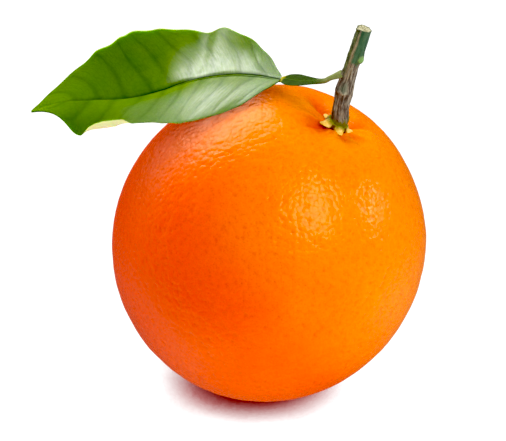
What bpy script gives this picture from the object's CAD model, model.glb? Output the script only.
"""Looks for a picked orange: pebbled peel, dry calyx, barked twig and one leathery leaf.

Sizes in the classes below are in millimetres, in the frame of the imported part, and are turned
into metres where a mesh is made. Angles are in degrees unless a line says radians, and the sizes
of the studio's panels are in metres. On the leaf, "near" and "far" are its -Y and +Y sides.
"""

import logging
import math
from collections.abc import Callable, Sequence
from dataclasses import dataclass, field
from enum import Enum

import bmesh
import bpy
import numpy as np
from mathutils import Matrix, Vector, kdtree, noise


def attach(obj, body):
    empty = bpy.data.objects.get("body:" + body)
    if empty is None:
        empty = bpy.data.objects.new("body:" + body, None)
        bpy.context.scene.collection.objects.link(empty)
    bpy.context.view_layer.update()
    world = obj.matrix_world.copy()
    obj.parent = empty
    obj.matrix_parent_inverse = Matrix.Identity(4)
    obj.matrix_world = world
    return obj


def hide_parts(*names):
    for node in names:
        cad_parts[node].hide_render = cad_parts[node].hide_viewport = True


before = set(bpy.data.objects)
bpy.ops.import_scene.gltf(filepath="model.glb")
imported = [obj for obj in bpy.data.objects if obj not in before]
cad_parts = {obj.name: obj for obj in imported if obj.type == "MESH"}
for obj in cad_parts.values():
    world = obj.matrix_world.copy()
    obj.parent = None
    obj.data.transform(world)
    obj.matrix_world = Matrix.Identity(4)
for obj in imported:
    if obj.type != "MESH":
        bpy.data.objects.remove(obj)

LOG = logging.getLogger("orange")
MM = 0.001
BODY = "root"
IMAGE_WIDTH = 506
SEED_STEPS = (13.7, 7.3, 3.1)
WELD_DISTANCE = 2e-7

Array = np.ndarray
Colour = tuple[float, float, float]
Triple = tuple[float, float, float]
Span = tuple[float, float]
Placed = tuple[Array, dict[str, Array]]


# ---------------------------------------------------------------- numbers and curves


def bell(distance: Array | float, width: float) -> Array | float:
    """Gives a smooth bump, 1 at distance 0 and nearly nothing past twice the width."""
    return np.exp(-((distance / width) ** 2))


def smooth(values: Array | float, low: float, high: float) -> Array:
    """Goes smoothly from 0 at `low` to 1 at `high`, which may be the smaller one."""
    share = np.clip((values - low) / (high - low), 0.0, 1.0)
    return share * share * (3 - 2 * share)


def blend(low: Array | float, high: Array | float, share: Array | float) -> Array:
    """Goes from `low` to `high` as the share goes from 0 to 1."""
    return low + (high - low) * share


def signed_turn(first: Array, second: Array | float) -> Array:
    """Gives the turn in degrees from the second direction to the first, from -180 to 180."""
    return (first - second + 540) % 360 - 180


def turn_between(first: Array, second: Array | float) -> Array:
    """Gives the smallest angle between directions given in degrees."""
    return np.abs(signed_turn(first, second))


def unit(vectors: Array) -> Array:
    """Scales each row to length 1."""
    return vectors / np.linalg.norm(vectors, axis=-1, keepdims=True)


def linear(code: str) -> Colour:
    """Turns a web colour code into scene-linear red, green and blue."""
    parts = [int(code[i : i + 2], 16) / 255 for i in (1, 3, 5)]
    return tuple(p / 12.92 if p <= 0.04045 else ((p + 0.055) / 1.055) ** 2.4 for p in parts)


def catmull_rom(padded: Array, position: Array) -> Array:
    """Reads a Catmull-Rom line at fractional positions.

    Args:
        padded: the points, with one extra before the first and one after the last.
        position: 0 at the first true point, 1 at the second, and so on.

    Returns:
        One row, or one number, for each position.
    """
    last = len(padded) - 4
    index = np.clip(np.floor(position).astype(int), 0, last)
    share = position - index
    if padded.ndim > 1:
        share = share[:, None]
    before, start, end, after = (padded[index + i] for i in range(4))
    leave = (end - before) / 2
    arrive = (after - start) / 2
    square = (-3 * start + 3 * end - 2 * leave - arrive) * share**2
    cube = (2 * start - 2 * end + leave + arrive) * share**3
    return start + leave * share + square + cube


def along(values: Sequence[float], share: Array) -> Array:
    """Reads a smooth line through evenly spaced numbers at shares of its length."""
    padded = np.array([values[0], *values, values[-1]], dtype=float)
    return catmull_rom(padded, share * (len(values) - 1))


class Route:
    """A smooth line through points chosen by hand."""

    sample_count = 1001
    tangent_reach = 1e-3

    def __init__(self, points: Sequence[Triple]) -> None:
        """Keeps the points, with a mirrored one past each end, and measures the line.

        Args:
            points: places in millimetres, in order.
        """
        rows = np.array(points, dtype=float)
        self.spans = len(rows) - 1
        self.padded = np.vstack([2 * rows[0] - rows[1], rows, 2 * rows[-1] - rows[-2]])
        self.samples = np.linspace(0, 1, self.sample_count)
        steps = np.linalg.norm(np.diff(self.point(self.samples), axis=0), axis=1)
        self.travelled = np.concatenate([[0], np.cumsum(steps)])

    @property
    def length(self) -> float:
        """Length of the line in millimetres."""
        return float(self.travelled[-1])

    def point(self, share: Array) -> Array:
        """Gives the point at each share, counted in spans between the points."""
        return catmull_rom(self.padded, np.clip(share, 0, 1) * self.spans)

    def even(self, share: Array) -> Array:
        """Turns shares of the true length into shares counted in spans."""
        return np.interp(np.clip(share, 0, 1) * self.length, self.travelled, self.samples)

    def tangent(self, share: Array) -> Array:
        """Gives the direction of travel at each share."""
        behind = self.point(share - self.tangent_reach)
        return unit(self.point(share + self.tangent_reach) - behind)


def value_noise(points: Array, scale: float, seed: float = 0.0) -> Array:
    """Gives smooth noise from -1 to 1 for each row.

    Args:
        points: places in millimetres.
        scale: millimetres from one bump to the next.
        seed: moves the pattern, so that two uses differ.

    Returns:
        One number for each row.
    """
    shift = Vector([seed * step for step in SEED_STEPS])
    return np.array([noise.noise(Vector(p) / scale + shift) for p in points])


# ---------------------------------------------------------------- meshes


def shape(bm: bmesh.types.BMesh, points: Array, attributes: dict[str, Array]) -> None:
    """Moves every vertex to its place and gives it its attributes.

    Args:
        bm: the mesh to shape.
        points: places in millimetres, one row for each vertex in order.
        attributes: one number or one row for each vertex, under the attribute's name.
    """
    layers = {}
    for key, values in attributes.items():
        kind = bm.verts.layers.float if values.ndim == 1 else bm.verts.layers.float_vector
        layers[key] = kind.new(key)
    for index, vert in enumerate(bm.verts):
        vert.co = points[index] * MM
        for key, values in attributes.items():
            value = values[index]
            vert[layers[key]] = float(value) if values.ndim == 1 else Vector(value)


def finished(name: str, bm: bmesh.types.BMesh) -> bpy.types.Object:
    """Turns a bmesh into a smooth-shaded object at the origin.

    Args:
        name: the object's name.
        bm: the mesh in metres, which is freed here.

    Returns:
        The new object.
    """
    mesh = bpy.data.meshes.new(name)
    bm.to_mesh(mesh)
    bm.free()
    mesh.shade_smooth()
    piece = bpy.data.objects.new(name, mesh)
    bpy.context.scene.collection.objects.link(piece)
    return piece


def rolled_skin(
    name: str,
    rows: int,
    sides: int,
    place: Callable[[Array, Array], Placed],
) -> bpy.types.Object:
    """Rolls a flat grid into a closed skin with a pole at each end.

    Args:
        name: the object's name.
        rows: grid steps from one pole to the other.
        sides: grid steps round the skin.
        place: takes the share from pole to pole and the share of a turn of every vertex,
            and gives their places in millimetres and their named attributes.

    Returns:
        The finished object.
    """
    bm = bmesh.new()
    bmesh.ops.create_grid(bm, x_segments=rows, y_segments=sides, size=0.5)
    flat = np.array([vert.co for vert in bm.verts])
    shape(bm, *place(flat[:, 0] + 0.5, flat[:, 1] + 0.5))
    bmesh.ops.remove_doubles(bm, verts=bm.verts, dist=WELD_DISTANCE)
    bmesh.ops.recalc_face_normals(bm, faces=bm.faces)
    return finished(name, bm)


def dress(piece: bpy.types.Object, material: bpy.types.Material, node: str) -> None:
    """Gives a piece its material and lets it stand for a node of the part.

    Args:
        piece: the finished object.
        material: its finish.
        node: the node of the part that it replaces.
    """
    piece.data.materials.append(material)
    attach(piece, BODY)
    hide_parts(node)
    LOG.info("%s stands for %s with %d faces", piece.name, node, len(piece.data.polygons))


# ---------------------------------------------------------------- shader maths


class Value:
    """A number on a node socket. Arithmetic on it adds Math nodes."""

    def __init__(self, bench: "Bench", socket: bpy.types.NodeSocket) -> None:
        """Keeps the socket and the bench that it belongs to."""
        self.bench = bench
        self.socket = socket

    def maths(self, operation: str, *others: "Value | float") -> "Value":
        """Adds one Math node whose first input is this value."""
        return self.bench.maths(operation, self, *others)

    def __add__(self, other: "Value | float") -> "Value":
        """Adds another number."""
        return self.maths("ADD", other)

    def __radd__(self, other: float) -> "Value":
        """Adds this to a plain number."""
        return self.maths("ADD", other)

    def __sub__(self, other: "Value | float") -> "Value":
        """Takes another number away."""
        return self.maths("SUBTRACT", other)

    def __rsub__(self, other: float) -> "Value":
        """Takes this from a plain number."""
        return self.bench.maths("SUBTRACT", other, self)

    def __mul__(self, other: "Value | float") -> "Value":
        """Multiplies by another number."""
        return self.maths("MULTIPLY", other)

    def __rmul__(self, other: float) -> "Value":
        """Multiplies a plain number by this."""
        return self.maths("MULTIPLY", other)

    def __truediv__(self, other: "Value | float") -> "Value":
        """Divides by another number."""
        return self.maths("DIVIDE", other)

    def __pow__(self, other: "Value | float") -> "Value":
        """Raises to a power."""
        return self.maths("POWER", other)

    def between(self, low: float, high: float) -> "Value":
        """Rises smoothly from 0 to 1.

        Args:
            low: the number that gives 0.
            high: the number that gives 1.

        Returns:
            The share between the two.
        """
        settings = {"interpolation_type": "SMOOTHSTEP"}
        feeds = {"Value": self, "From Min": low, "From Max": high}
        made = self.bench.node("ShaderNodeMapRange", settings, feeds)
        return Value(self.bench, made.outputs["Result"])


Feed = Value | bpy.types.NodeSocket | float | Sequence[float]


class Bench:
    """The node tree of one material or of the room, with short ways to add to it."""

    def __init__(self, name: str, world: bpy.types.World | None = None) -> None:
        """Starts a tree with nothing but its output.

        Args:
            name: the name of the new material.
            world: the world whose tree is used instead of a new material's.
        """
        self.material = world or bpy.data.materials.new(name)
        self.material.use_nodes = True
        self.tree = self.material.node_tree
        self.tree.nodes.clear()
        kind = "ShaderNodeOutputWorld" if world else "ShaderNodeOutputMaterial"
        self.output = self.tree.nodes.new(kind)

    def node(
        self,
        kind: str,
        settings: dict[str, object] | None = None,
        feeds: dict[str | int, Feed] | None = None,
    ) -> bpy.types.Node:
        """Adds one node.

        Args:
            kind: the node's type.
            settings: its properties, set before its sockets are.
            feeds: a value or a link for each named or numbered input.

        Returns:
            The new node.
        """
        made = self.tree.nodes.new(kind)
        for key, setting in (settings or {}).items():
            setattr(made, key, setting)
        for key, feed in (feeds or {}).items():
            self.feed(made.inputs[key], feed)
        return made

    def feed(self, socket: bpy.types.NodeSocket, feed: Feed) -> None:
        """Links or sets one input.

        Args:
            socket: the input.
            feed: a value or a socket to link, or a plain number, vector or colour to set.
        """
        if isinstance(feed, Value):
            self.tree.links.new(feed.socket, socket)
        elif isinstance(feed, bpy.types.NodeSocket):
            self.tree.links.new(feed, socket)
        elif socket.type == "RGBA" and len(feed) == 3:
            socket.default_value = (*feed, 1.0)
        else:
            socket.default_value = feed

    def maths(self, operation: str, *values: Value | float) -> Value:
        """Adds a Math node on numbers."""
        made = self.node("ShaderNodeMath", {"operation": operation}, dict(enumerate(values)))
        return Value(self, made.outputs[0])

    def vectors(
        self, operation: str, feeds: dict[str | int, Feed], output: str = "Vector"
    ) -> bpy.types.NodeSocket:
        """Adds a Vector Math node."""
        return self.node("ShaderNodeVectorMath", {"operation": operation}, feeds).outputs[output]

    def facing(self, way: bpy.types.NodeSocket, towards: Triple) -> Value:
        """Gives how much a direction points towards another, from -1 to 1."""
        return Value(self, self.vectors("DOT_PRODUCT", {0: way, 1: towards}, "Value"))

    def mix(self, share: Value, low: Feed, high: Feed) -> Feed:
        """Mixes two colours, from `low` at 0 to `high` at 1."""
        feeds = {0: share, 6: low, 7: high}
        return self.node("ShaderNodeMix", {"data_type": "RGBA"}, feeds).outputs[2]

    def layered(self, colour: Feed, *layers: tuple[Value, Feed]) -> Feed:
        """Lays colours over a first one.

        Args:
            colour: the colour at the bottom.
            layers: how strongly each next layer covers, and its colour.

        Returns:
            The colour that shows.
        """
        for share, over in layers:
            colour = self.mix(share, colour, over)
        return colour

    def attribute(self, name: str, output: str = "Vector") -> bpy.types.NodeSocket:
        """Reads a named attribute of the piece."""
        return self.node("ShaderNodeAttribute", {"attribute_name": name}).outputs[output]

    def number(self, name: str) -> Value:
        """Reads an attribute that holds one number."""
        return Value(self, self.attribute(name, "Fac"))

    def place(self) -> bpy.types.NodeSocket:
        """Gives the place on the piece in millimetres."""
        inside = self.node("ShaderNodeTexCoord").outputs["Object"]
        return self.vectors("SCALE", {0: inside, "Scale": 1 / MM})

    def stretched(self, place: bpy.types.NodeSocket, factors: Triple) -> bpy.types.NodeSocket:
        """Multiplies a place by a number for each axis."""
        return self.vectors("MULTIPLY", {0: place, 1: factors})

    def axis(self, place: bpy.types.NodeSocket, name: str) -> Value:
        """Gives one coordinate of a place."""
        return Value(self, self.node("ShaderNodeSeparateXYZ", None, {0: place}).outputs[name])

    def noise(
        self,
        place: bpy.types.NodeSocket,
        size: float,
        detail: float = 2.0,
        rough: float = 0.5,
        warp: float = 0.0,
    ) -> Value:
        """Adds noise from 0 to 1.

        Args:
            place: where it is read.
            size: the size of its features, in the place's own units.
            detail: how many finer layers it has.
            rough: how strong the finer layers are.
            warp: how much it is bent.

        Returns:
            The noise.
        """
        feeds = {"Vector": place, "Scale": 1 / size, "Detail": detail, "Roughness": rough}
        made = self.node("ShaderNodeTexNoise", None, {**feeds, "Distortion": warp})
        return Value(self, made.outputs[0])

    def cells(self, place: bpy.types.NodeSocket, size: float, feature: str = "F1") -> Value:
        """Adds a cell pattern: the distance to the nearest cell point or cell edge."""
        feeds = {"Vector": place, "Scale": 1 / size, "Randomness": 0.8}
        return Value(self, self.node("ShaderNodeTexVoronoi", {"feature": feature}, feeds).outputs[0])

    def swayed(
        self, place: bpy.types.NodeSocket, size: float, reach: float
    ) -> bpy.types.NodeSocket:
        """Shifts a place by smooth noise.

        Args:
            place: the place.
            size: the size of the sway, in the place's own units.
            reach: twice the most that a place moves each way.

        Returns:
            The shifted place.
        """
        made = self.node("ShaderNodeTexNoise", None, {"Vector": place, "Scale": 1 / size})
        shift = self.vectors("SUBTRACT", {0: made.outputs["Color"], 1: (0.5,) * 3})
        return self.vectors("MULTIPLY_ADD", {0: shift, 1: (reach,) * 3, 2: place})

    def bump(self, height: Value, reach: float) -> bpy.types.NodeSocket:
        """Adds a bump whose height of 1 stands `reach` millimetres proud."""
        feeds = {"Height": height, "Distance": reach * MM, "Strength": 1.0}
        return self.node("ShaderNodeBump", None, feeds).outputs["Normal"]

    def surface(self, kind: str, feeds: dict[str, Feed]) -> None:
        """Adds the tree's shader and joins it to the output."""
        made = self.node(kind, None, feeds)
        self.tree.links.new(made.outputs[0], self.output.inputs["Surface"])

    def principled(self, feeds: dict[str, Feed]) -> bpy.types.Material:
        """Adds the main shader and gives the finished material."""
        self.surface("ShaderNodeBsdfPrincipled", feeds)
        return self.material


def soaked(weight: float, radii: Triple) -> dict[str, Feed]:
    """Gives the sockets for light that soaks in.

    Args:
        weight: the share of the light that soaks in.
        radii: how far its red, green and blue spread, in millimetres.

    Returns:
        The main shader's values, by socket.
    """
    return {
        "Subsurface Weight": weight,
        "Subsurface Radius": tuple(radius * MM for radius in radii),
        "Subsurface Scale": 1.0,
    }


# ---------------------------------------------------------------- finishes


@dataclass(frozen=True)
class PeelFinish:
    """Waxy orange peel: redder on the leaf's side, yellower away from it, with dark glands."""

    red_side: Colour = linear("#dc4500")
    middle: Colour = linear("#e65600")
    gold_side: Colour = linear("#ec7c00")
    gland: Colour = linear("#c03c00")
    crease: Colour = linear("#c24a00")
    fold: Colour = linear("#d83800")
    ridge: Colour = linear("#f09000")
    sheen: Colour = (1.0, 0.9, 0.48)
    colour_reach: float = 34.0
    colour_rise: float = 54.0
    colour_middle: float = 40.0
    under_span: Span = (-10.0, 15.0)
    red_span: Span = (-1.0, 0.0)
    gold_span: Span = (-0.3, 0.75)
    drift: float = 26.0
    mottle: float = 9.0
    roughness: float = 0.25
    pebble: float = 1.25
    pebble_height: float = 0.078
    pore: float = 0.7
    pore_height: float = 0.022
    pore_span: Span = (0.05, 0.4)
    grain: float = 0.28
    grain_height: float = 0.01
    soak: float = 0.1
    soak_radii: Triple = (2.0, 0.8, 0.2)

    def colour(self, bench: Bench, place: bpy.types.NodeSocket, patch: Value) -> Feed:
        """Runs the peel's colour from the red side to the gold one.

        Args:
            bench: the material's bench.
            place: the place on the peel in millimetres.
            patch: the mottling, from -0.5 to 0.5.

        Returns:
            The colour without glands or creases.
        """
        drift = bench.noise(place, self.drift) - 0.5
        side = bench.axis(place, "X")
        across = side / self.colour_reach + drift * 0.6 + patch * 0.25
        above = (bench.axis(place, "Z") - self.colour_middle) / self.colour_rise
        below = above.maths("MINIMUM", 0) * (side.between(*self.under_span) * 1.4 - 0.25)
        across = across + above.maths("MAXIMUM", 0) + below - 0.02
        warm = bench.mix(across.between(*self.red_span), self.red_side, self.middle)
        return bench.mix(across.between(*self.gold_span), warm, self.gold_side)

    def material(self) -> bpy.types.Material:
        """Builds the peel material.

        Returns:
            A material that reads the `gland`, `crease`, `ridge` and `fold` attributes.
        """
        bench = Bench("peel")
        place = bench.place()
        patch = bench.noise(place, self.mottle, 3.0, 0.6) - 0.5
        pebble = bench.cells(bench.swayed(place, 1.4, 0.5), self.pebble)
        pore = bench.cells(bench.swayed(place, 0.8, 0.3), self.pore)
        gland, fold = bench.number("gland"), bench.number("fold")
        skin = bench.layered(
            self.colour(bench, place, patch),
            (gland * 0.34 + (1 - pore.between(*self.pore_span)) * 0.27, self.gland),
            (bench.number("crease") * 0.4, self.crease),
            (bench.number("ridge") * 0.45, self.ridge),
            (fold * 0.7, self.fold),
        )
        relief = (1 - pebble * pebble * 1.6) * self.pebble_height
        relief = relief + (pore * pore) * self.pore_height
        relief = relief + bench.noise(place, self.grain) * self.grain_height
        return bench.principled(
            {
                "Base Color": skin,
                "Roughness": self.roughness + patch * 0.12 + gland * 0.1 + fold * 0.3,
                "Normal": bench.bump(relief, 1.0),
                "Specular IOR Level": 0.3,
                "Specular Tint": self.sheen,
                **soaked(self.soak, self.soak_radii),
            }
        )


@dataclass(frozen=True)
class CalyxFinish:
    """Dry yellow lobes, olive round the twig and brown in the gaps and creases."""

    lobe: Colour = linear("#ecbe4e")
    pale: Colour = linear("#eaca7c")
    heart: Colour = linear("#7f7a1c")
    crease: Colour = linear("#5a3212")
    tip: Colour = linear("#c98f2e")
    heart_span: Span = (2.9, 3.7)
    tip_span: Span = (4.3, 5.2)
    crease_span: Span = (0.45, 0.95)

    def material(self) -> bpy.types.Material:
        """Builds the calyx material.

        Returns:
            A material that reads the `reach` and `crease` attributes.
        """
        bench = Bench("calyx")
        place = bench.place()
        grain = bench.noise(place, 0.9, 3.0, 0.6)
        fine = bench.noise(place, 0.3, 2.0, 0.6)
        out = bench.number("reach") + grain * 0.8
        dark = bench.number("crease") + (grain - 0.5) * 0.7
        skin = bench.layered(
            bench.mix(grain.between(0.4, 0.7), self.lobe, self.pale),
            (1 - out.between(*self.heart_span), self.heart),
            (out.between(*self.tip_span) * 0.7, self.tip),
            (dark.between(*self.crease_span), self.crease),
        )
        return bench.principled(
            {
                "Base Color": skin,
                "Roughness": 0.55 + grain * 0.2,
                "Normal": bench.bump(fine + grain, 0.08),
                "Specular IOR Level": 0.3,
            }
        )


@dataclass(frozen=True)
class BarkFinish:
    """Streaked grey-brown bark below, smooth dark green above, and a pale cut face."""

    bark: Colour = linear("#807868")
    dark: Colour = linear("#50443b")
    pale: Colour = linear("#a69a84")
    crack: Colour = linear("#988a6c")
    green: Colour = linear("#315038")
    green_light: Colour = linear("#4e6a4e")
    olive: Colour = linear("#66703a")
    foot: Colour = linear("#6d6a1a")
    bud: Colour = linear("#6f9150")
    scar: Colour = linear("#a3a88a")
    wood: Colour = linear("#d0caa8")
    wood_line: Colour = linear("#8e8a62")
    rim: Colour = linear("#6d7050")
    old_green: Colour = linear("#3a4630")
    streak_stretch: Triple = (1.0, 1.0, 0.17)
    thread_stretch: Triple = (1.0, 1.0, 0.1)
    broad_stretch: Triple = (1.0, 1.0, 0.35)

    def material(self) -> bpy.types.Material:
        """Builds the bark material.

        Returns:
            A material that reads the twig's `rolled` place and its masks.
        """
        bench = Bench("bark")
        rolled = bench.attribute("rolled")
        streaks = bench.noise(bench.stretched(rolled, self.streak_stretch), 0.5, 4.0, 0.65, 0.5)
        threads = bench.noise(bench.stretched(rolled, self.thread_stretch), 0.22, 2.0, 0.6)
        broad = bench.noise(bench.stretched(rolled, self.broad_stretch), 1.7)
        greenness = bench.number("greenness")
        upper = bench.mix(broad.between(0.35, 0.7), self.green, self.green_light)
        upper = bench.mix(threads.between(0.5, 0.75) * 0.35, upper, self.olive)
        old = bench.mix(threads.between(0.42, 0.62), self.old_green, self.olive)
        grain = bench.noise(rolled, 0.5, 3.0)
        wood = bench.mix(grain.between(0.35, 0.65), self.wood_line, self.wood)
        skin = bench.layered(
            bench.mix(streaks.between(0.4, 0.58), self.dark, self.bark),
            ((streaks * 0.6 + threads * 0.5).between(0.56, 0.7) * 0.75, self.pale),
            (greenness, upper),
            (bench.number("old_side") * 0.85, old),
            (bench.number("node_green") * streaks.between(0.3, 0.5), self.green),
            (bench.number("crack") * threads.between(0.25, 0.45), self.crack),
            (bench.number("bud"), self.bud),
            (bench.number("scar") * 0.8, self.scar),
            (bench.number("foot"), self.foot),
            (bench.number("rim"), self.rim),
            (bench.number("cut"), wood),
        )
        return bench.principled(
            {
                "Base Color": skin,
                "Roughness": 0.7 - greenness * 0.25,
                "Normal": bench.bump(streaks + threads * 0.5, 0.14),
                "Specular IOR Level": 0.35,
            }
        )


@dataclass(frozen=True)
class StalkFinish:
    """Dark green stalk with a lighter middle, pale by the twig and yellow at the joint."""

    green: Colour = linear("#314417")
    groove: Colour = linear("#4a6224")
    pale: Colour = linear("#7a8050")
    joint: Colour = linear("#b9ad3c")
    pale_span: Span = (0.3, 0.6)
    joint_span: Span = (0.95, 0.99)
    soak: float = 0.2
    soak_radii: Triple = (0.4, 0.7, 0.15)

    def material(self) -> bpy.types.Material:
        """Builds the stalk material.

        Returns:
            A material that reads the `share` and `middle` attributes.
        """
        bench = Bench("stalk")
        share = bench.number("share")
        mottle = bench.noise(bench.place(), 1.4, 3.0)
        skin = bench.layered(
            bench.mix(mottle.between(0.3, 0.75) * 0.25, self.green, self.groove),
            (bench.number("middle") * 0.7, self.groove),
            (1 - (share + (mottle - 0.5) * 0.2).between(*self.pale_span), self.pale),
            (share.between(*self.joint_span), self.joint),
        )
        return bench.principled(
            {
                "Base Color": skin,
                "Roughness": 0.5,
                "Normal": bench.bump(mottle, 0.05),
                "Specular IOR Level": 0.06,
                **soaked(self.soak, self.soak_radii),
            }
        )


@dataclass(frozen=True)
class LeafFinish:
    """Leathery green leaf: satin above with darker veins, and pale yellow-green below."""

    deep: Colour = linear("#527006")
    bright: Colour = linear("#5e7808")
    tip: Colour = linear("#547205")
    far: Colour = linear("#4e6606")
    vein: Colour = linear("#284806")
    rib: Colour = linear("#1c360f")
    under: Colour = linear("#d2c8a0")
    under_vein: Colour = linear("#c6c690")
    margin: Colour = linear("#34520f")
    bloom: Colour = linear("#8ea080")
    shade: Colour = linear("#34500c")
    tip_span: Span = (30.0, 58.0)
    far_span: Span = (3.0, 15.0)
    near_span: Span = (-9.0, -2.0)
    base_span: Span = (4.0, 13.0)
    dust_from: Span = (14.0, 28.0)
    dust_to: Span = (38.0, 48.0)
    shade_from: Span = (22.0, 36.0)
    cell: float = 1.35
    cell_edge: float = 0.14
    thread_stretch: Triple = (1.0, 0.18, 1.0)
    relief: float = 0.07
    roughness: float = 0.5
    wax_roughness: float = 0.31
    wax_ior: float = 1.66
    soak: float = 0.75
    soak_radii: Triple = (0.5, 0.9, 0.12)

    def material(self) -> bpy.types.Material:
        """Builds the leaf material.

        Returns:
            A material that reads the blade's `sheet` and `weave` places and its masks.
        """
        bench = Bench("leaf")
        sheet = bench.attribute("sheet")
        out_along, out_side = bench.axis(sheet, "X"), bench.axis(sheet, "Y")
        patches = bench.noise(sheet, 8.0, 3.0, 0.55)
        speckle = bench.noise(sheet, 1.1, 3.0, 0.6)
        threads = bench.attribute("weave")
        threads = bench.noise(bench.stretched(threads, self.thread_stretch), 0.55, 3.0, 0.6)
        cells = bench.cells(bench.swayed(sheet, 1.5, 0.8), self.cell, "DISTANCE_TO_EDGE")
        net = cells.between(0.0, self.cell_edge)
        vein = bench.number("vein")
        near = 1 - out_side.between(*self.near_span)
        dusty = near * out_along.between(*self.dust_from) * (1 - out_along.between(*self.dust_to))
        below = bench.mix(vein * 0.7, self.under, self.under_vein)
        below = bench.mix((1 - net) * 0.3, below, self.under_vein)
        tone = (patches * 0.75 + speckle * 0.25).between(0.36, 0.62)
        skin = bench.layered(
            bench.mix(tone, self.deep, self.bright),
            ((out_along + (patches - 0.5) * 20).between(*self.tip_span) * 0.8, self.tip),
            (out_side.between(*self.far_span) * 0.4, self.far),
            ((1 - out_along.between(*self.base_span)) * 0.5, self.bloom),
            (dusty * 0.2, self.bloom),
            (near * out_along.between(*self.shade_from) * 0.35, self.shade),
            ((1 - net) * 0.12, self.vein),
            (vein * 0.3, self.vein),
            (bench.number("rib"), self.rib),
            (bench.number("underside"), below),
            (bench.number("margin"), self.margin),
        )
        relief = net * 0.15 + speckle * 0.7 + threads * 1.1 + bench.noise(sheet, 0.35) * 0.3
        return bench.principled(
            {
                "Base Color": skin,
                "Roughness": self.roughness + patches * 0.1,
                "Normal": bench.bump(relief, self.relief),
                "Specular IOR Level": 0.02,
                "Coat Weight": bench.number("wax") * (0.2 + threads * 1.4),
                "Coat Roughness": self.wax_roughness,
                "Coat IOR": self.wax_ior,
                **soaked(self.soak, self.soak_radii),
            }
        )


# ---------------------------------------------------------------- fruit


@dataclass
class Bulge:
    """A broad swelling or flat in the fruit: the side it is on, its height and its width in degrees."""

    towards: Triple
    height: float
    width: float


@dataclass
class Fold:
    """A crease that runs out from the calyx. Its depth is in millimetres and the rest in degrees."""

    turn: float
    depth: float
    width: float
    reach: float


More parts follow.
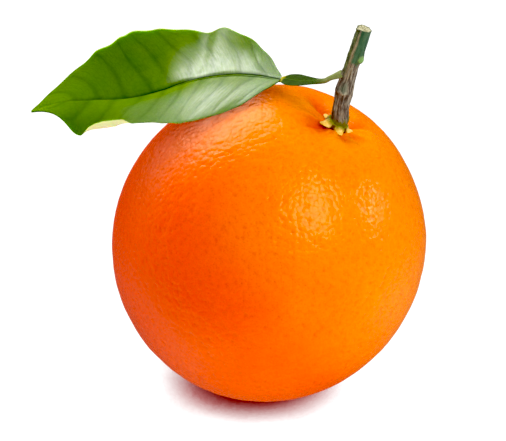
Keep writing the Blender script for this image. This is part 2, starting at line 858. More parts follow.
@dataclass
class Fruit:
    """The whole orange, resting on a small flat of its own peel."""

    equator_radius: float = 39.0
    polar_radius: float = 39.6
    centre_height: float = 38.6
    axis: Triple = (0.421, -0.14, 0.896)
    hollow_depth: float = 2.2
    hollow_width: float = 13.0
    shoulder_height: float = 0.55
    shoulder_from: float = 25.0
    shoulder_width: float = 9.0
    furrow_depth: float = 0.4
    furrow_count: int = 5
    furrow_from: float = 14.0
    furrow_width: float = 8.0
    furrow_turn: float = 30.0
    scar_depth: float = 0.8
    scar_width: float = 6.0
    bulges: tuple[Bulge, ...] = (
        Bulge((0.76, -0.27, -0.59), -0.4, 34.0),
        Bulge((-0.53, -0.36, -0.77), 0.35, 42.0),
    )
    folds: tuple[Fold, ...] = (
        Fold(35, 0.7, 12, 17),
        Fold(74, 0.5, 15, 13),
        Fold(125, 1.3, 18, 17),
        Fold(168, 0.3, 12, 12),
        Fold(212, 1.1, 24, 15),
        Fold(290, 0.5, 16, 12),
        Fold(335, 0.4, 9, 11),
    )
    cushion_height: float = 0.9
    cushion_from: float = 11.5
    cushion_width: float = 5.5
    fold_from: float = 7.5
    fold_sway: float = 5.0
    fold_bite: float = 2.0
    calyx_span: Span = (1.0, 6.0)
    height_rounds: int = 5
    cube_cuts: int = 127
    gland_spacing: float = 1.38
    gland_depth: float = 0.13
    gland_width: float = 0.42
    gland_shake: float = 0.24
    gland_depths: Span = (0.45, 1.25)
    gland_widths: Span = (0.75, 1.3)
    pebble_size: float = 3.2
    pebble_height: float = 0.085
    wave_size: float = 11.0
    wave_height: float = 0.14
    wrinkle_count: int = 17
    wrinkle_depth: float = 0.22
    wrinkle_sway: float = 1.6
    wrinkle_from: float = 10.0
    wrinkle_width: float = 6.0
    wrinkle_patches: Span = (-0.3, 0.5)
    seed: int = 11
    finish: PeelFinish = field(default_factory=PeelFinish)

    def __post_init__(self) -> None:
        """Works out the turn that stands the fruit's own axis up."""
        lean = Vector(self.axis).normalized()
        upright = Vector((0, 0, 1)).rotation_difference(lean)
        self.turn = np.array(upright.to_matrix())
        self.centre = np.array([0.0, 0.0, self.centre_height])

    def own(self, directions: Array) -> tuple[Array, Array]:
        """Gives the angle from the stem axis and the turn about it, in radians."""
        local = directions @ self.turn
        return np.arccos(np.clip(local[:, 2], -1, 1)), np.arctan2(local[:, 1], local[:, 0])

    def world(self, from_axis: Array, turn: Array) -> Array:
        """Gives the direction at an angle from the stem axis and a turn about it.

        Args:
            from_axis: angles from the stem axis in radians.
            turn: turns about the stem axis in radians.

        Returns:
            One unit row for each.
        """
        ring = np.sin(from_axis)
        local = np.stack([ring * np.cos(turn), ring * np.sin(turn), np.cos(from_axis)], axis=1)
        return local @ self.turn.T

    def radius(self, from_axis: Array, turn: Array) -> Array:
        """Gives the distance of the bare peel from the centre, in millimetres.

        Args:
            from_axis: angles from the stem axis in radians.
            turn: turns about the stem axis in radians.

        Returns:
            The distances, without folds, cushions, pebbles or glands.
        """
        degrees = np.degrees(from_axis)
        equator = np.sin(from_axis) / self.equator_radius
        pole = np.cos(from_axis) / self.polar_radius
        radius = 1 / np.hypot(equator, pole)
        radius = radius + self.shoulder_height * bell(degrees - self.shoulder_from, self.shoulder_width)
        radius -= self.hollow_depth * bell(degrees, self.hollow_width)
        radius -= self.scar_depth * bell(180 - degrees, self.scar_width)
        furrow = 0.5 + 0.5 * np.cos(self.furrow_count * (turn - math.radians(self.furrow_turn)))
        radius -= self.furrow_depth * furrow**3 * bell(degrees - self.furrow_from, self.furrow_width)
        directions = self.world(from_axis, turn)
        for bulge in self.bulges:
            towards = unit(np.array(bulge.towards))
            away = np.degrees(np.arccos(np.clip(directions @ towards, -1, 1)))
            radius += bulge.height * bell(away, bulge.width)
        return radius

    def sinking(self, degrees: Array, turn: Array) -> Array:
        """Gives how deep in the folds by the calyx each point lies, in millimetres.

        Args:
            degrees: angles from the stem axis.
            turn: turns about the stem axis in radians.

        Returns:
            The depths.
        """
        sink = np.zeros_like(degrees)
        for fold in self.folds:
            line = fold.turn + self.fold_sway * np.sin(degrees / 4 + fold.turn)
            side = bell(turn_between(np.degrees(turn) - line, 0), fold.width)
            sink += fold.depth * side * bell(degrees - self.fold_from, fold.reach - self.fold_from)
        return sink * smooth(degrees, *self.calyx_span)

    def gather(self, degrees: Array, turn: Array) -> Array:
        """Gives the rise of the cushions round the calyx, less the folds between them.

        Args:
            degrees: angles from the stem axis.
            turn: turns about the stem axis in radians.

        Returns:
            The rises in millimetres.
        """
        rise = self.cushion_height * bell(degrees - self.cushion_from, self.cushion_width)
        sink = self.sinking(degrees, turn)
        return rise * np.exp(-self.fold_bite * sink) * smooth(degrees, *self.calyx_span) - sink

    def height(self, distance: Array, turn: Array) -> Array:
        """Gives the height of the peel along the stem axis, at a distance from that axis.

        Args:
            distance: millimetres from the stem axis.
            turn: turns about the stem axis in radians.

        Returns:
            The heights above the fruit's centre in millimetres.
        """
        radius = np.full_like(distance, self.polar_radius)
        for _ in range(self.height_rounds):
            radius = self.radius(np.arcsin(distance / radius), turn)
        return np.sqrt(radius**2 - distance**2)

    def on_axis(self, above_peel: float) -> Array:
        """Gives the point on the stem axis at a height above the peel."""
        reach = self.height(np.zeros(1), np.zeros(1))[0] + above_peel
        return self.centre + reach * self.turn[:, 2]

    def glands(self, directions: Array) -> Array:
        """Gives how deep in an oil gland each point lies.

        The gland centres stand on an even spiral over the fruit and are shaken a little.

        Args:
            directions: unit rows from the fruit's centre.

        Returns:
            From 0 between the glands to about 1.3 in the deepest.
        """
        area = 4 * math.pi * self.equator_radius**2
        room_each = self.gland_spacing**2 * 0.866
        count = int(area / room_each)
        random = np.random.default_rng(self.seed)
        index = np.arange(count) + 0.5
        level = 1 - 2 * index / count
        swing = math.pi * (1 + math.sqrt(5)) * index
        ring = np.sqrt(1 - level**2)
        centres = np.stack([ring * np.cos(swing), ring * np.sin(swing), level], axis=1)
        centres *= self.equator_radius
        centres += random.normal(0, self.gland_shake * self.gland_spacing, centres.shape)
        depth = random.uniform(*self.gland_depths, count)
        width = self.gland_width * random.uniform(*self.gland_widths, count)
        tree = kdtree.KDTree(count)
        for i, centre in enumerate(centres):
            tree.insert(centre, i)
        tree.balance()
        found = [tree.find(point) for point in directions * self.equator_radius]
        nearest = np.array([hit[1] for hit in found])
        distance = np.array([hit[2] for hit in found])
        return depth[nearest] * bell(distance, width[nearest])

    def wrinkles(self, from_axis: Array, turn: Array, points: Array) -> Array:
        """Gives how deep in a radial crease by the calyx each point lies, from 0 to 1.

        Args:
            from_axis: angles from the stem axis in radians.
            turn: turns about the stem axis in radians.
            points: places on a round fruit in millimetres.

        Returns:
            The depths as shares.
        """
        degrees = np.degrees(from_axis)
        bend = value_noise(points, 9.0, 3.0) * self.wrinkle_sway
        wave = 0.5 + 0.5 * np.cos(self.wrinkle_count * turn + bend * 3)
        strength = smooth(value_noise(points, 6.0, 5.0), *self.wrinkle_patches)
        return wave**4 * strength * bell(degrees - self.wrinkle_from, self.wrinkle_width)

    def build(self) -> None:
        """Builds and dresses the peel: a finely cut cube blown up to the fruit's shape."""
        bm = bmesh.new()
        bmesh.ops.create_cube(bm, size=2)
        bmesh.ops.subdivide_edges(bm, edges=bm.edges, cuts=self.cube_cuts, use_grid_fill=True)
        cube = np.array([vert.co for vert in bm.verts])
        directions = unit(np.tan(cube * math.pi / 4))
        from_axis, turn = self.own(directions)
        rough = directions * self.equator_radius
        gland = self.glands(directions)
        crease = self.wrinkles(from_axis, turn, rough)
        degrees = np.degrees(from_axis)
        fold = np.clip(self.sinking(degrees, turn), 0, 1)
        gather = self.gather(degrees, turn)
        ridge = np.clip(gather, 0, 1)
        radius = self.radius(from_axis, turn) + gather
        radius += self.pebble_height * value_noise(rough, self.pebble_size, 1.0)
        radius += self.wave_height * value_noise(rough, self.wave_size, 2.0)
        radius -= self.gland_depth * gland
        radius -= self.wrinkle_depth * crease
        points = directions * radius[:, None] + self.centre
        points[:, 2] = np.maximum(points[:, 2], 0)
        shape(bm, points, {"gland": gland, "crease": crease, "fold": fold, "ridge": ridge})
        bmesh.ops.recalc_face_normals(bm, faces=bm.faces)
        piece = finished("orange_peel", bm)
        dress(piece, self.finish.material(), "fruit")


# ---------------------------------------------------------------- calyx


@dataclass
class Calyx:
    """The star of dry lobes between the fruit and the twig."""

    fruit: Fruit
    reaches: tuple[float, ...] = (4.0, 4.3, 5.1, 4.3, 4.9)
    lobe_turn: float = 67.0
    notch_reach: float = 2.9
    lobe_point: float = 1.9
    collar_radius: float = 2.45
    collar_height: float = 1.5
    rim_height: float = 0.42
    underside: float = -0.5
    under_share: float = 0.3
    twist: float = 0.12
    edge_wander: float = 0.3
    crinkle_height: float = 0.08
    tip_lift: float = 0.2
    rows: int = 90
    sides: int = 300
    finish: CalyxFinish = field(default_factory=CalyxFinish)

    def lobe(self, turn: Array) -> tuple[Array, Array]:
        """Finds where in its lobes a turn lies.

        Args:
            turn: turns about the stem axis in radians.

        Returns:
            1 in the middle of a lobe and 0 between two, and the reach of the nearest lobe.
        """
        count = len(self.reaches)
        place = (np.degrees(turn) - self.lobe_turn) / (360 / count)
        nearest = np.round(place).astype(int) % count
        lobe = 0.5 + 0.5 * np.cos(2 * math.pi * place)
        return lobe, np.array(self.reaches)[nearest]

    def place(self, row: Array, around: Array) -> Placed:
        """Places the skin: row 0 is the middle of the underside and row 1 the top middle.

        Args:
            row: the share from pole to pole of each vertex.
            around: its share of a turn.

        Returns:
            The places in millimetres, and the attributes `reach` and `crease`.
        """
        turn = around * 2 * math.pi
        under = row < self.under_share
        rest = (row - self.under_share) / (1 - self.under_share)
        reach = np.where(under, row / self.under_share, 1 - rest)
        ring = np.stack([np.cos(turn), np.sin(turn), turn * 0], axis=1)
        wander = value_noise(ring * 3, 1.2, 4.0)
        lobe, tip = self.lobe(turn + self.twist * wander)
        edge = blend(self.notch_reach, tip, lobe**self.lobe_point) + self.edge_wander * wander
        distance = reach * edge
        crinkle = value_noise(ring * (distance[:, None] * 2 + 1), 0.9, 6.0)
        neck = smooth(distance, self.collar_radius + 1.0, self.collar_radius - 0.1)
        close = 1 - reach**8
        swell = self.rim_height * close * (0.55 + 0.6 * lobe)
        lift = self.tip_lift * smooth(reach, 0.7, 1.0) * lobe * (0.6 + wander)
        top = swell + lift + self.crinkle_height * crinkle * close
        top = top + neck * (self.collar_height - self.rim_height)
        bottom = self.underside + 0.5 * reach**8 + lift * reach**4
        level = self.fruit.height(distance, turn) + np.where(under, bottom, top)
        local = np.stack([distance * np.cos(turn), distance * np.sin(turn), level], axis=1)
        gap = bell(lobe, 0.22) * smooth(reach, 0.7, 0.9)
        attributes = {"reach": distance, "crease": np.where(under, 1.0, gap)}
        return local @ self.fruit.turn.T + self.fruit.centre, attributes

    def build(self) -> None:
        """Builds and dresses the calyx."""
        piece = rolled_skin("calyx_star", self.rows, self.sides, self.place)
        dress(piece, self.finish.material(), "calyx")


# ---------------------------------------------------------------- twig


@dataclass
class Swelling:
    """A bump on the twig: where it is along and round it, and how far it spreads and rises."""

    at: float
    below: float
    above: float
    height: float
    towards: float
    width: float

    def rise(self, share: Array, turn: Array) -> Array:
        """Gives how far the bump stands out.

        Args:
            share: shares of the twig's length.
            turn: turns about the twig in degrees.

        Returns:
            The rises in millimetres.
        """
        spread = np.where(share < self.at, self.below, self.above)
        side = bell(turn_between(turn, self.towards), self.width)
        return self.height * side * bell(share - self.at, spread)


@dataclass
class Twig:
    """The cut woody twig, from the calyx to its pale cut end."""

    fruit: Fruit
    route_points: tuple[Triple, ...] = (
        (16.7, -5.75, 75.6),
        (17.5, -6.3, 81.2),
        (18.9, -7.2, 87.6),
        (20.1, -7.9, 91.9),
        (21.7, -8.7, 97.7),
    )
    starts_above_peel: float = 1.3
    straight: float = 1.2
    radii: tuple[float, ...] = (2.15, 2.02, 1.94, 2.02, 1.84, 1.64, 1.7, 1.78, 1.74, 1.64)
    leaf_scar: Swelling = field(default_factory=lambda: Swelling(0.345, 0.02, 0.06, 0.5, 225, 60))
    ledge: Swelling = field(default_factory=lambda: Swelling(0.675, 0.012, 0.07, 0.5, 330, 40))
    bud: Swelling = field(default_factory=lambda: Swelling(0.71, 0.025, 0.045, 0.45, 312, 26))
    axil: Swelling = field(default_factory=lambda: Swelling(0.49, 0.04, 0.05, 0.4, 180, 45))
    flap: Swelling = field(default_factory=lambda: Swelling(1.0, 0.022, 0.022, 0.75, 212, 13))
    ridge_count: int = 7
    ridge_height: float = 0.07
    ridge_twist: float = 60.0
    fissure_depth: float = 0.16
    lump_height: float = 0.1
    cut_rim: float = 0.1
    crack_turn: float = 239.0
    crack_width: float = 9.5
    crack_from: float = 0.47
    crack_to: float = 0.97
    crack_depth: float = 0.2
    split_turn: float = 24.0
    split_width: float = 7.0
    split_from: Span = (0.44, 0.5)
    split_to: Span = (0.68, 0.6)
    green_from: float = 0.655
    green_turns: Span = (2.0, 10.0)
    old_turns: Span = (0.0, -12.0)
    old_limit: float = -120.0
    old_from: Span = (0.46, 0.6)
    node_turn: float = 14.0
    node_width: float = 22.0
    node_from: Span = (0.355, 0.37)
    node_to: Span = (0.5, 0.4)
    foot_span: Span = (0.065, 0.03)
    scar_line: float = 0.008
    scar_turn: float = 258.0
    scar_width: float = 26.0
    cut_rows: float = 0.1
    base_rows: float = 0.02
    sunk: float = 0.6
    rows: int = 260
    sides: int = 130
    finish: BarkFinish = field(default_factory=BarkFinish)

    def __post_init__(self) -> None:
        """Joins the route to the calyx along the stem axis."""
        start = self.fruit.on_axis(self.starts_above_peel)
        bend = self.fruit.on_axis(self.starts_above_peel + self.straight)
        self.route = Route([start, bend, *self.route_points])

    def frame(self, share: Array) -> tuple[Array, Array, Array]:
        """Gives the middle of the twig and two directions square to it.

        Args:
            share: shares of the length.

        Returns:
            Three rows for each: the middle, and directions near +X and near +Y.
        """
        spans = self.route.even(share)
        tangent = self.route.tangent(spans)
        across = unit(np.array([1.0, 0.0, 0.0]) - tangent * tangent[:, :1])
        return self.route.point(spans), across, np.cross(tangent, across)

    def radius(self, share: Array, turn: Array) -> Array:
        """Gives the plain radius of the twig.

        Args:
            share: shares of the length.
            turn: turns about the twig in degrees.

        Returns:
            The radii in millimetres.
        """
        wave = np.radians(self.ridge_count * turn + self.ridge_twist * share)
        radius = along(self.radii, share) + self.ridge_height * np.cos(wave)
        for swelling in (self.leaf_scar, self.ledge, self.bud, self.axil, self.flap):
            radius = radius + swelling.rise(share, turn)
        return radius

    def zones(self, share: Array, turn: Array, rolled: Array) -> dict[str, Array]:
        """Gives the masks of the green rind, the crack, the bud, the scar and the olive foot.

        Args:
            share: shares of the length.
            turn: turns about the twig in degrees.
            rolled: places on a straight twig in millimetres.

        Returns:
            A mask from 0 to 1 for each kind of bark, by name.
        """
        sway = value_noise(rolled, 1.6, 8.0)
        line = self.crack_turn + 14 * sway
        from_line = signed_turn(turn, line)
        ragged = share + 0.03 * value_noise(rolled * np.array([1.6, 1.6, 0.5]), 1.0, 6.0)
        crack = bell(from_line, self.crack_width) * smooth(share, self.crack_from, self.crack_from + 0.05)
        crack = crack * smooth(share, self.crack_to, self.crack_to - 0.03)
        split = bell(from_line - self.split_turn, self.split_width)
        split = split * smooth(share, *self.split_from) * smooth(share, *self.split_to)
        right = smooth(from_line, *self.green_turns)
        right = right * smooth(ragged, self.green_from - 0.015, self.green_from + 0.015)
        left = smooth(from_line, *self.old_turns) * smooth(ragged, *self.old_from)
        left = left * (from_line > self.old_limit)
        node = bell(from_line - self.node_turn, self.node_width)
        node = node * smooth(ragged, *self.node_from) * smooth(ragged, *self.node_to)
        scar = bell(ragged - self.leaf_scar.at, self.scar_line)
        scar = scar * bell(turn_between(turn, self.scar_turn), self.scar_width)
        bud = smooth(self.bud.rise(share, turn) / self.bud.height, 0.2, 0.6)
        return {
            "greenness": right * (1 - bud),
            "old_side": left,
            "node_green": node * 0.5,
            "crack": np.maximum(crack, 0.8 * split),
            "bud": bud,
            "foot": smooth(ragged, *self.foot_span),
            "scar": 0.85 * scar,
        }

    def place(self, row: Array, around: Array) -> Placed:
        """Places the skin: row 0 is the middle of the cut face and row 1 the sunk lower end.

        Args:
            row: the share from pole to pole of each vertex.
            around: its share of a turn.

        Returns:
            The places in millimetres, and the attributes `rolled`, `cut`, `rim` and the masks.
        """
        turn = around * 360
        radians = np.radians(turn)
        side_rows = 1 - self.cut_rows - self.base_rows
        share = 1 - np.clip((row - self.cut_rows) / side_rows, 0, 1)
        out = np.minimum(row / self.cut_rows, (1 - row) / self.base_rows).clip(0, 1)
        middle, across, back = self.frame(share)
        length = share * self.route.length
        rolled = np.stack([np.cos(radians) * 2, np.sin(radians) * 2, length], axis=1)
        streak = rolled * np.array([1.0, 1.0, 0.14])
        fissure = value_noise(streak, 0.45, 1.0) + 0.6 * value_noise(streak, 0.22, 2.0)
        lumps = value_noise(rolled, 1.3, 3.0)
        zones = self.zones(share, turn, rolled)
        rough = blend(1.0, 0.2, np.maximum(zones["greenness"], zones["foot"]))
        relief = self.fissure_depth * fissure + self.lump_height * lumps
        radius = self.radius(share, turn) + relief * rough
        radius = radius - self.crack_depth * zones["crack"]
        cut = row < self.cut_rows
        radius = radius + np.where(cut, 0.0, self.cut_rim * bell(1 - share, 0.012))
        distance = radius * out
        dish = 0.10 * np.cos(out * 14) * (1 - out) - 0.15 * (1 - out**8)
        points = middle + across * (distance * np.cos(radians))[:, None]
        points = points + back * (distance * np.sin(radians))[:, None]
        grain = 0.12 * value_noise(points, 0.7, 9.0) + 0.05 * value_noise(points, 0.3, 9.5)
        chips = 0.15 * value_noise(rolled, 0.8, 5.0) * smooth(share, 0.985, 1.0)
        rise = np.where(cut, dish + grain, chips)
        rise = rise - self.sunk * smooth(row, 0.96, 0.98)
        points = points + np.cross(across, back) * rise[:, None]
        wood = np.where(cut, smooth(out, 0.93, 0.86), 0.0)
        return points, {"rolled": rolled, "cut": wood, "rim": np.where(cut, 1 - wood, 0.0), **zones}

    def build(self) -> None:
        """Builds and dresses the twig."""
        piece = rolled_skin("twig_bark", self.rows, self.sides, self.place)
        dress(piece, self.finish.material(), "stem")


# ---------------------------------------------------------------- leaf


def leaf_frame(route: Route, share: Array) -> tuple[Array, Array, Array]:
    """Gives the middle of a leaf or stalk and two directions square to it.

    Args:
        route: the midrib, or the middle of the stalk.
        share: shares of it, counted in spans.

    Returns:
        Three rows for each: the middle, the direction to the far side, and the one above.
    """
    tangent = route.tangent(share)
    across = unit(np.cross(tangent, np.array([0.0, 0.0, 1.0])))
    return route.point(share), across, unit(np.cross(across, tangent))


@dataclass
class Blade:
    """The leaf blade: folded at its midrib, waved on the far side and lipped on the near one."""

    midrib: tuple[Triple, ...] = (
        (2.8, 0.8, 81.9),
        (-4.2, 2.6, 82.5),
        (-11.9, 4.8, 81.5),
        (-19.3, 6.6, 79.4),
        (-26.0, 7.2, 76.6),
        (-34.1, 6.6, 74.7),
        (-42.1, 6.0, 74.5),
        (-50.1, 5.4, 74.2),
        (-58.2, 4.6, 71.9),
    )
    half_width: float = 18.9
    widest_shift: float = 0.9
    fullness: float = 0.68
    far_slope: tuple[float, ...] = (-3, 13, 25, 27, 36, 43, 36, 14, 0)
    near_slope: tuple[float, ...] = (-8, -22, -20, -14, -4, 0, -17, -10, 14)
    cup: float = 5.0
    far_wave_at: float = 0.345
    far_wave_spread: float = 0.04
    far_wave_angle: float = -6.0
    near_dip_at: float = 0.835
    near_dip_spread: float = 0.04
    near_dip_angle: float = -12.0
    lip_from: float = 0.62
    lip_to: float = 0.81
    lip_blend: float = 0.035
    lip_angle: float = 60.0
    lip_width: float = 2.9
    lip_bend: float = 1.0
    margin_waves: int = 21
    margin_depth: float = 0.25
    margin_full_from: float = 6.0
    near_trim: float = 0.26
    thickness: float = 0.4
    rib_below: float = 0.75
    rib_groove: float = 0.38
    rib_width: float = 0.8
    vein_pairs: float = 10.5
    vein_sweep: float = 0.125
    vein_curve: float = 1.35
    vein_sway: float = 0.24
    vein_stagger: float = 0.21
    vein_width: float = 0.75
    vein_groove: float = 0.04
    quilting: float = 0.06
    joint_half_width: float = 0.6
    edge_power: int = 10
    ripple_height: float = 0.08
    wax_far_span: Span = (0.54, 0.35)
    wax_gap_at: float = 0.2
    wax_near_span: Span = (0.68, 0.4)
    wax_near_at: float = 0.235
    rib_line_span: Span = (0.45, 0.7)
    side_line_at: float = 1.15
    side_line_width: float = 0.26
    walk_steps: int = 24
    rows: int = 300
    sides: int = 216
    finish: LeafFinish = field(default_factory=LeafFinish)

    def __post_init__(self) -> None:
        """Makes the midrib's route."""
        self.route = Route(self.midrib)

    def width(self, share: Array, side: Array) -> Array:
        """Gives the half-width of the blade on one side.

        Args:
            share: shares of the length.
            side: 1 for the far side and -1 for the near one.

        Returns:
            The half-widths in millimetres.
        """
        outline = np.sin(math.pi * np.clip(share, 0, 1) ** self.widest_shift) ** self.fullness
        width = self.half_width * outline
        wave = self.margin_depth * np.cos(self.margin_waves * math.pi * share + side)
        wave = wave * np.where(side > 0, 1.0, 0.4)
        width = width + wave * np.minimum(1, width / self.margin_full_from)
        width = width * (1 - self.near_trim * smooth(share, 0.85, 0.96) * (side < 0))
        joint = self.joint_half_width * bell(share, 0.012)
        return np.maximum(width, joint)

    def slope(self, share: Array, side: Array, out: Array, width: Array) -> Array:
        """Gives how steep the blade is.

        Args:
            share: shares of the length.
            side: 1 for the far side and -1 for the near one.
            out: millimetres from the midrib.
            width: the half-width there.

        Returns:
            The slopes in degrees, upwards where they are positive.
        """
        reach = out / np.maximum(width, 1e-6)
        cup = self.cup * (2 * reach - 1)
        wave = self.far_wave_angle * bell(share - self.far_wave_at, self.far_wave_spread)
        far = along(self.far_slope, share) + wave + cup
        dip = self.near_dip_angle * bell(share - self.near_dip_at, self.near_dip_spread)
        near = along(self.near_slope, share) + dip - cup
        starts = smooth(share, self.lip_from - self.lip_blend, self.lip_from + self.lip_blend)
        stops = smooth(share, self.lip_to - self.lip_blend, self.lip_to + self.lip_blend)
        middle = (share - self.lip_from) / (self.lip_to - self.lip_from)
        fold = width - self.lip_width * np.sin(math.pi * np.clip(middle, 0, 1)) ** 0.7
        turned = (starts - stops) * smooth(out - fold, -self.lip_bend, self.lip_bend)
        return np.where(side > 0, far, blend(near, self.lip_angle, turned))

    def veins(self, share: Array, side: Array, reach: Array, places: Array) -> tuple[Array, Array]:
        """Gives where the side veins run.

        Args:
            share: shares of the length.
            side: 1 for the far side and -1 for the near one.
            reach: shares of the half-width.
            places: places on the flat sheet in millimetres.

        Returns:
            The veins from 0 to 1, and a swell that is 0 between two of them and 1 on one.
        """
        sway = self.vein_sway * value_noise(places, 9.0, 2.0)
        position = (share - self.vein_sweep * reach**self.vein_curve) * self.vein_pairs
        position = position + side * self.vein_stagger + sway
        offset = position - np.round(position)
        distance = np.abs(offset) * self.route.length / self.vein_pairs * 0.85
        width = self.vein_width * blend(1.0, 0.45, reach)
        fade = smooth(reach, 1.0, 0.86) * smooth(share, 0.02, 0.08) * smooth(share, 0.99, 0.93)
        return bell(distance, width) * fade, np.cos(math.pi * offset) ** 2 * fade

    def wax(self, share: Array, side: Array, reach: Array, above: Array) -> Array:
        """Gives how thick the wax lies: thick by the stalk, thin past the middle, none below.

        Args:
            share: shares of the length.
            side: 1 for the far side and -1 for the near one.
            reach: shares of the half-width.
            above: whether it is the upper face.

        Returns:
            The wax from 0 to about 1.
        """
        far = smooth(share + 0.1 * reach, *self.wax_far_span)
        far = far * (0.6 + 0.7 * bell(reach - 0.15, 0.42))
        far = far * (1 - 0.55 * bell(share - self.wax_gap_at, 0.07) * smooth(reach, 0.5, 0.8))
        near = 0.25 * smooth(share, *self.wax_near_span) + 0.95 * bell(share - self.wax_near_at, 0.13)
        near = near * (0.35 + 0.65 * smooth(reach, 0.15, 0.6))
        return np.where(above, np.where(side > 0, far, near), 0.0)

    def place(self, row: Array, around: Array) -> Placed:
        """Places the skin: rows run from base to tip, and half a turn is the upper face.

        Args:
            row: the share from pole to pole of each vertex.
            around: its share of a turn.

        Returns:
            The places in millimetres, and the attributes that the finish reads.
        """
        share = row - 0.06 * np.sin(2 * math.pi * row)
        above = around < 0.5
        ramp = np.where(above, 4 * around - 1, 3 - 4 * around)
        side = np.where(ramp < 0, -1.0, 1.0)
        reach = np.abs(ramp) ** 1.15
        ends = np.minimum(row, 1 - row) > 1e-6
        width = self.width(share, side) * ends
        centre, across, over = leaf_frame(self.route, share)
        step = reach * width / self.walk_steps
        for i in range(self.walk_steps):
            angle = np.radians(self.slope(share, side, (i + 0.5) * step, width))
            centre = centre + across * (side * step * np.cos(angle))[:, None]
            centre = centre + over * (step * np.sin(angle))[:, None]
        out = reach * width
        angle = np.radians(self.slope(share, side, out, width))
        normal = over * np.cos(angle)[:, None] - across * (side * np.sin(angle))[:, None]
        sheet = np.stack([share * self.route.length, side * out, above * 0.0], axis=1)
        vein, between = self.veins(share, side, reach, sheet)
        rib_width = self.rib_width * blend(1.15, 0.5, share)
        rib = bell(out, rib_width)
        taper = smooth(share, 1.0, 0.9) * blend(1.0, 0.25, share)
        edge = np.sqrt(np.clip(1 - reach**self.edge_power, 0, 1)) * ends
        body = self.thickness / 2 * edge
        puff = self.quilting * (1 - between) * smooth(out, 0.5, 3.0) * smooth(reach, 1.0, 0.75)
        ripple = self.ripple_height * value_noise(sheet, 4.5, 7.0) * smooth(reach, 1.0, 0.8)
        groove = self.rib_groove * rib * taper + self.vein_groove * vein
        ridge = self.rib_below * rib * taper + 0.12 * vein
        level = np.where(above, body - groove * edge, -body - ridge * edge) + (puff + ripple) * edge
        points = centre + normal * level[:, None]
        swept = self.vein_sweep * reach**self.vein_curve * self.route.length
        rib_line = bell(out, rib_width * 0.6) * blend(1.0, 0.35, smooth(share, *self.rib_line_span))
        rib_line = rib_line * smooth(share, 1.0, 0.8)
        second = bell(out - self.side_line_at, self.side_line_width) * (side < 0)
        second = second * smooth(share, 0.55, 0.4) * smooth(share, 0.0, 0.05)
        rib_line = np.maximum(rib_line, 0.95 * second)
        attributes = {
            "sheet": sheet,
            "weave": sheet - np.array([1.0, 0, 0]) * swept[:, None],
            "vein": vein,
            "rib": rib_line,
            "underside": np.where(above, 0.0, 1.0),
            "wax": self.wax(share, side, reach, above) * (1 - 0.95 * rib_line) * (1 - 0.12 * vein),
            "margin": smooth(out, 0, 1) * smooth(width - out, 0.35, 0.1),
        }
        return points, attributes

    def build(self) -> None:
        """Builds and dresses the blade."""
        piece = rolled_skin("leaf_sheet", self.rows, self.sides, self.place)
        dress(piece, self.finish.material(), "leaf_blade")
        piece.visible_glossy = False


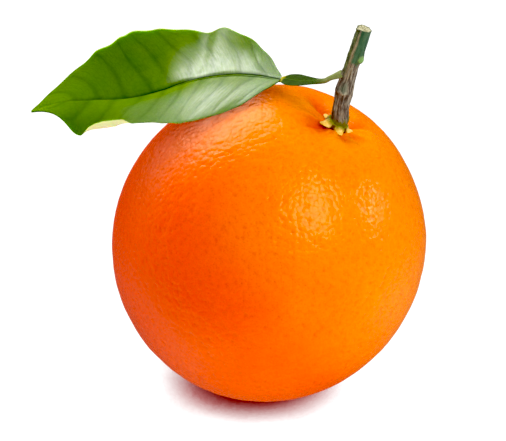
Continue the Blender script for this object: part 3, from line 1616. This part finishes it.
@dataclass
class Stalk:
    """The winged stalk that joins the leaf to the twig."""

    twig: Twig
    blade: Blade
    joins_at: float = 0.5
    joins_towards: float = 172.0
    route_points: tuple[Triple, ...] = (
        (14.3, -6.8, 84.9),
        (12.8, -6.1, 83.9),
        (10.4, -4.6, 83.1),
        (7.0, -2.2, 82.3),
    )
    twig_half_width: float = 0.95
    joint_half_width: float = 0.6
    wing_half_width: float = 2.6
    wing_from: float = 0.36
    wing_to: float = 0.99
    wing_skew: float = 2.9
    wing_fullness: float = 0.6
    roll: float = 14.0
    wing_half_thickness: float = 0.24
    wing_rise: float = 0.12
    rib_half_thickness: float = 0.36
    rib_spread: float = 0.8
    foot_spread: float = 0.11
    foot_width: float = 0.45
    foot_height: float = 0.4
    groove_depth: float = 0.35
    groove_width: float = 0.45
    end_power: int = 60
    sunk: float = 0.7
    rows: int = 150
    sides: int = 72
    finish: StalkFinish = field(default_factory=StalkFinish)

    def __post_init__(self) -> None:
        """Runs the route from inside the bark to the start of the blade."""
        share, turn = np.array([self.joins_at]), np.array([self.joins_towards])
        middle, across, back = self.twig.frame(share)
        angle = np.radians(turn)
        reach = self.twig.radius(share, turn) - self.sunk
        root = middle + across * (reach * np.cos(angle))[:, None]
        root = root + back * (reach * np.sin(angle))[:, None]
        self.route = Route([root[0], *self.route_points, self.blade.midrib[0]])

    def half_width(self, share: Array) -> Array:
        """Gives the half-width of the stalk and its wings.

        Args:
            share: shares of the length.

        Returns:
            The half-widths in millimetres.
        """
        plain = blend(self.twig_half_width, self.joint_half_width, share)
        plain = plain + self.foot_width * bell(share, self.foot_spread)
        wing = np.clip((share - self.wing_from) / (self.wing_to - self.wing_from), 0, 1)
        spread = np.sin(math.pi * wing**self.wing_skew).clip(0) ** self.wing_fullness
        return blend(plain, self.wing_half_width, spread)

    def place(self, row: Array, around: Array) -> Placed:
        """Places the skin: rows run from the twig to the blade.

        Args:
            row: the share from pole to pole of each vertex.
            around: its share of a turn.

        Returns:
            The places in millimetres, and the attributes `share` and `middle`.
        """
        angle = around * 2 * math.pi
        close = np.sqrt(np.clip(1 - (2 * np.abs(row - 0.5)) ** self.end_power, 0, 1))
        middle, level, above = leaf_frame(self.route, row)
        roll = math.radians(self.roll)
        across = level * math.cos(roll) + above * math.sin(roll)
        over = above * math.cos(roll) - level * math.sin(roll)
        half_width = self.half_width(row)
        side = np.cos(angle) * half_width * close
        foot = self.foot_height * bell(row, self.foot_spread)
        rib = self.rib_half_thickness * bell(side, self.rib_spread) + foot
        height = np.sin(angle) * (self.wing_half_thickness + rib) * close
        upper = np.sin(angle) > 0
        wings = smooth(half_width, 1.0, 1.8)
        dent = self.groove_depth * bell(side, self.groove_width) * wings * upper
        rise = self.wing_rise * np.abs(side)
        points = middle + across * side[:, None] + over * (height + rise - dent)[:, None]
        points = points + across * (0.05 * value_noise(points, 1.2, 2.0) * close)[:, None]
        return points, {"share": row, "middle": bell(side, 0.3) * np.where(upper, 1.0, 0.4)}

    def build(self) -> None:
        """Builds and dresses the stalk."""
        piece = rolled_skin("leaf_stalk_wing", self.rows, self.sides, self.place)
        dress(piece, self.finish.material(), "leaf_stalk")


# ---------------------------------------------------------------- studio


class Reach(Enum):
    """What a light is seen by: everything, only the sheen, or only the matt shading."""

    ALL = "all"
    SHEEN = "sheen"
    MATT = "matt"


@dataclass
class Panel:
    """A soft square light that looks at the fruit, with its sizes in metres."""

    name: str
    towards: Triple
    distance: float
    width: float
    height: float
    radiance: float
    reach: Reach = Reach.ALL

    def build(self, target: Vector) -> None:
        """Hangs the panel, with the power that its radiance needs.

        Args:
            target: what it looks at, in metres.
        """
        light = bpy.data.lights.new(self.name, "AREA")
        light.shape = "RECTANGLE"
        light.size = self.width
        light.size_y = self.height
        light.energy = self.radiance * math.pi * self.width * self.height
        lamp = bpy.data.objects.new(self.name, light)
        way = Vector(self.towards).normalized()
        lamp.location = target + way * self.distance
        lamp.rotation_euler = way.to_track_quat("Z", "Y").to_euler()
        lamp.visible_diffuse = self.reach is not Reach.SHEEN
        lamp.visible_glossy = self.reach is not Reach.MATT
        bpy.context.scene.collection.objects.link(lamp)


@dataclass
class Studio:
    """A pale table, a white room, soft panels and the camera.

    The table gives no light and isn't mirrored. What a shiny skin mirrors of the room has its own
    brightness by direction, apart from the light that falls on matt skins.
    """

    fruit: Fruit
    elevation: float = 25.0
    distance: float = 420.0
    pixels_per_radian: float = 1680.0
    sensor: float = 36.0
    look_right: float = -4.0
    look_up: float = 5.625
    room: float = 1.12
    backdrop: float = 1.25
    gloss_room: float = 0.14
    gloss_return: float = 1.0
    gloss_sides: float = 0.5
    gloss_sky: float = 3.0
    return_fade: Span = (0.8, 1.5)
    sides_out: Span = (0.12, 0.3)
    sides_down: Span = (0.25, 0.5)
    floor_dim: Span = (0.86, 0.96)
    right_down: Span = (0.55, 0.85)
    right_out: Span = (0.0, 0.3)
    sky_up: Span = (0.0, 0.8)
    sky_back: Span = (0.0, 0.45)
    sky_end: Span = (0.78, 0.88)
    sky_gap_back: Span = (0.6, 0.7)
    sky_gap_up: Span = (0.3, 0.36)
    sky_left: Span = (-0.55, 0.05)
    bounce: float = 0.75
    bounce_span: Span = (0.0, 0.6)
    dark_towards: Triple = (-0.55, -0.8, 0.15)
    dark_span: Span = (0.25, 0.95)
    dark_depth: float = 0.5
    black_level: float = 0.045
    glow: float = 2.8
    glow_power: float = 2.0
    glow_limit: float = 1.15
    table_half: float = 3.0
    shadow_tint: Colour = (1.0, 0.12, 0.13)
    tint_span: Span = (0.12, 1.12)
    light_lean: Triple = (0.22, -0.04, 0.97)
    panels: tuple[Panel, ...] = (
        Panel("rear_box", (-0.3, 0.535, 0.79), 0.6, 0.42, 0.4, 3.8),
        Panel("rear_matt", (-0.3, 0.535, 0.79), 0.6, 0.42, 0.4, 1.2, Reach.MATT),
        Panel("window", (0.49, -0.58, 0.64), 0.6, 0.26, 0.3, 8.5, Reach.SHEEN),
        Panel("right_strip", (0.93, -0.05, 0.34), 0.6, 0.055, 0.13, 28.0, Reach.SHEEN),
        Panel("front", (0.3, -0.8, 0.52), 0.6, 0.6, 0.6, 1.5, Reach.MATT),
        Panel("left_rim", (-0.8, 0.48, 0.36), 0.6, 0.4, 0.4, 2.0, Reach.MATT),
    )

    def build_table(self) -> None:
        """Lays the table under the fruit, shaded where the fruit stands over it."""
        bm = bmesh.new()
        bmesh.ops.create_grid(bm, x_segments=4, y_segments=4, size=self.table_half)
        table = finished("table", bm)
        bench = Bench("table_white")
        lean = bench.node("ShaderNodeCombineXYZ", None, dict(enumerate(self.light_lean)))
        open_sky = bench.node(
            "ShaderNodeAmbientOcclusion",
            {"samples": 16},
            {"Distance": 1.0, "Normal": lean.outputs["Vector"]},
        )
        light = (Value(bench, open_sky.outputs["AO"]) * self.glow) ** self.glow_power
        light = (light * 1.05 + self.black_level).maths("MINIMUM", self.glow_limit)
        tint = bench.mix(light.between(*self.tint_span), self.shadow_tint, (1, 1, 1))
        material = bench.principled(
            {
                "Base Color": (0, 0, 0),
                "Roughness": 0.3,
                "Specular IOR Level": 0.1,
                "Emission Color": bench.vectors("SCALE", {0: tint, "Scale": light}),
                "Emission Strength": 1.0,
            }
        )
        table.data.materials.append(material)
        table.visible_diffuse = False
        table.visible_glossy = False

    def reflected(self, bench: Bench, way: bpy.types.NodeSocket) -> Value:
        """Gives the light that shiny skins mirror: bright by the camera, with a sky behind.

        Args:
            bench: the room's bench.
            way: the direction that the mirrored ray takes.

        Returns:
            The brightness of the room that way.
        """
        tilt = math.radians(self.elevation)
        side, back, up = (bench.axis(way, name) for name in "XYZ")
        turned = 1 - bench.facing(way, (0, math.cos(tilt), -math.sin(tilt)))
        down = 0 - up
        returned = turned.between(0, 1) ** 1.3 * (1 - turned.between(*self.return_fade) * 0.7)
        sides = side.maths("ABSOLUTE").between(*self.sides_out) * down.between(*self.sides_down)
        plain = (self.gloss_room + returned * self.gloss_return) * (1 + sides * self.gloss_sides)
        plain = plain * (1 - down.between(*self.floor_dim) * 0.5)
        right = down.between(*self.right_down) * side.between(*self.right_out)
        plain = plain * (1 - right * 0.6)
        sky = up.between(*self.sky_up) * back.between(*self.sky_back)
        sky = sky * (1 - back.between(*self.sky_end))
        gap = back.between(*self.sky_gap_back) * up.between(*self.sky_gap_up)
        sky = sky * (1 - gap * 0.85) * (1 - side.between(*self.sky_left))
        return plain + sky * self.gloss_sky

    def build_room(self) -> None:
        """Fills the room with soft white light, dimmer from the near left and brighter from below."""
        world = bpy.data.worlds.new("room")
        bpy.context.scene.world = world
        world.cycles.sampling_method = "NONE"
        bench = Bench("room", world)
        way = bench.node("ShaderNodeTexCoord").outputs["Generated"]
        corner = bench.facing(way, Vector(self.dark_towards).normalized()).between(*self.dark_span)
        bounce = (0 - bench.axis(way, "Z")).between(*self.bounce_span)
        path = bench.node("ShaderNodeLightPath")
        seen = Value(bench, path.outputs["Is Camera Ray"])
        gloss = Value(bench, path.outputs["Is Glossy Ray"])
        lit = (1 + bounce * self.bounce) * (1 - corner * self.dark_depth) * self.room
        lit = gloss * self.reflected(bench, way) + (1 - gloss) * lit
        strength = seen * self.backdrop + (1 - seen) * lit
        bench.surface("ShaderNodeBackground", {"Color": (1, 1, 1), "Strength": strength})

    def build_camera(self) -> None:
        """Sets the camera at the viewing angle, with no shift and nothing out of focus."""
        tilt = math.radians(self.elevation)
        up = Vector((0, math.sin(tilt), math.cos(tilt)))
        ahead = Vector((0, math.cos(tilt), -math.sin(tilt)))
        centre = Vector(self.fruit.centre)
        place = centre + Vector((self.look_right, 0, 0)) + up * self.look_up - ahead * self.distance
        data = bpy.data.cameras.new("camera")
        data.sensor_width = self.sensor
        data.lens = self.pixels_per_radian * self.sensor / IMAGE_WIDTH
        data.clip_start = 0.01
        data.clip_end = 20
        camera = bpy.data.objects.new("camera", data)
        camera.location = place * MM
        camera.rotation_euler = (math.pi / 2 - tilt, 0, 0)
        bpy.context.scene.collection.objects.link(camera)
        bpy.context.scene.camera = camera

    def build(self) -> None:
        """Builds the table, the room, the lights and the camera."""
        self.build_camera()
        self.build_table()
        self.build_room()
        target = Vector(self.fruit.centre) * MM
        for panel in self.panels:
            panel.build(target)
        view = bpy.context.scene.view_settings
        view.view_transform = "Standard"
        view.use_curve_mapping = True
        view.curve_mapping.black_level = (self.black_level,) * 3


def main() -> None:
    """Builds every piece in order and reports it."""
    logging.basicConfig(level=logging.INFO, format="%(name)s: %(message)s")
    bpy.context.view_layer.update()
    fruit = Fruit()
    Studio(fruit).build()
    fruit.build()
    Calyx(fruit).build()
    twig = Twig(fruit)
    twig.build()
    blade = Blade()
    blade.build()
    Stalk(twig, blade).build()


if __name__ == "__main__":
    main()
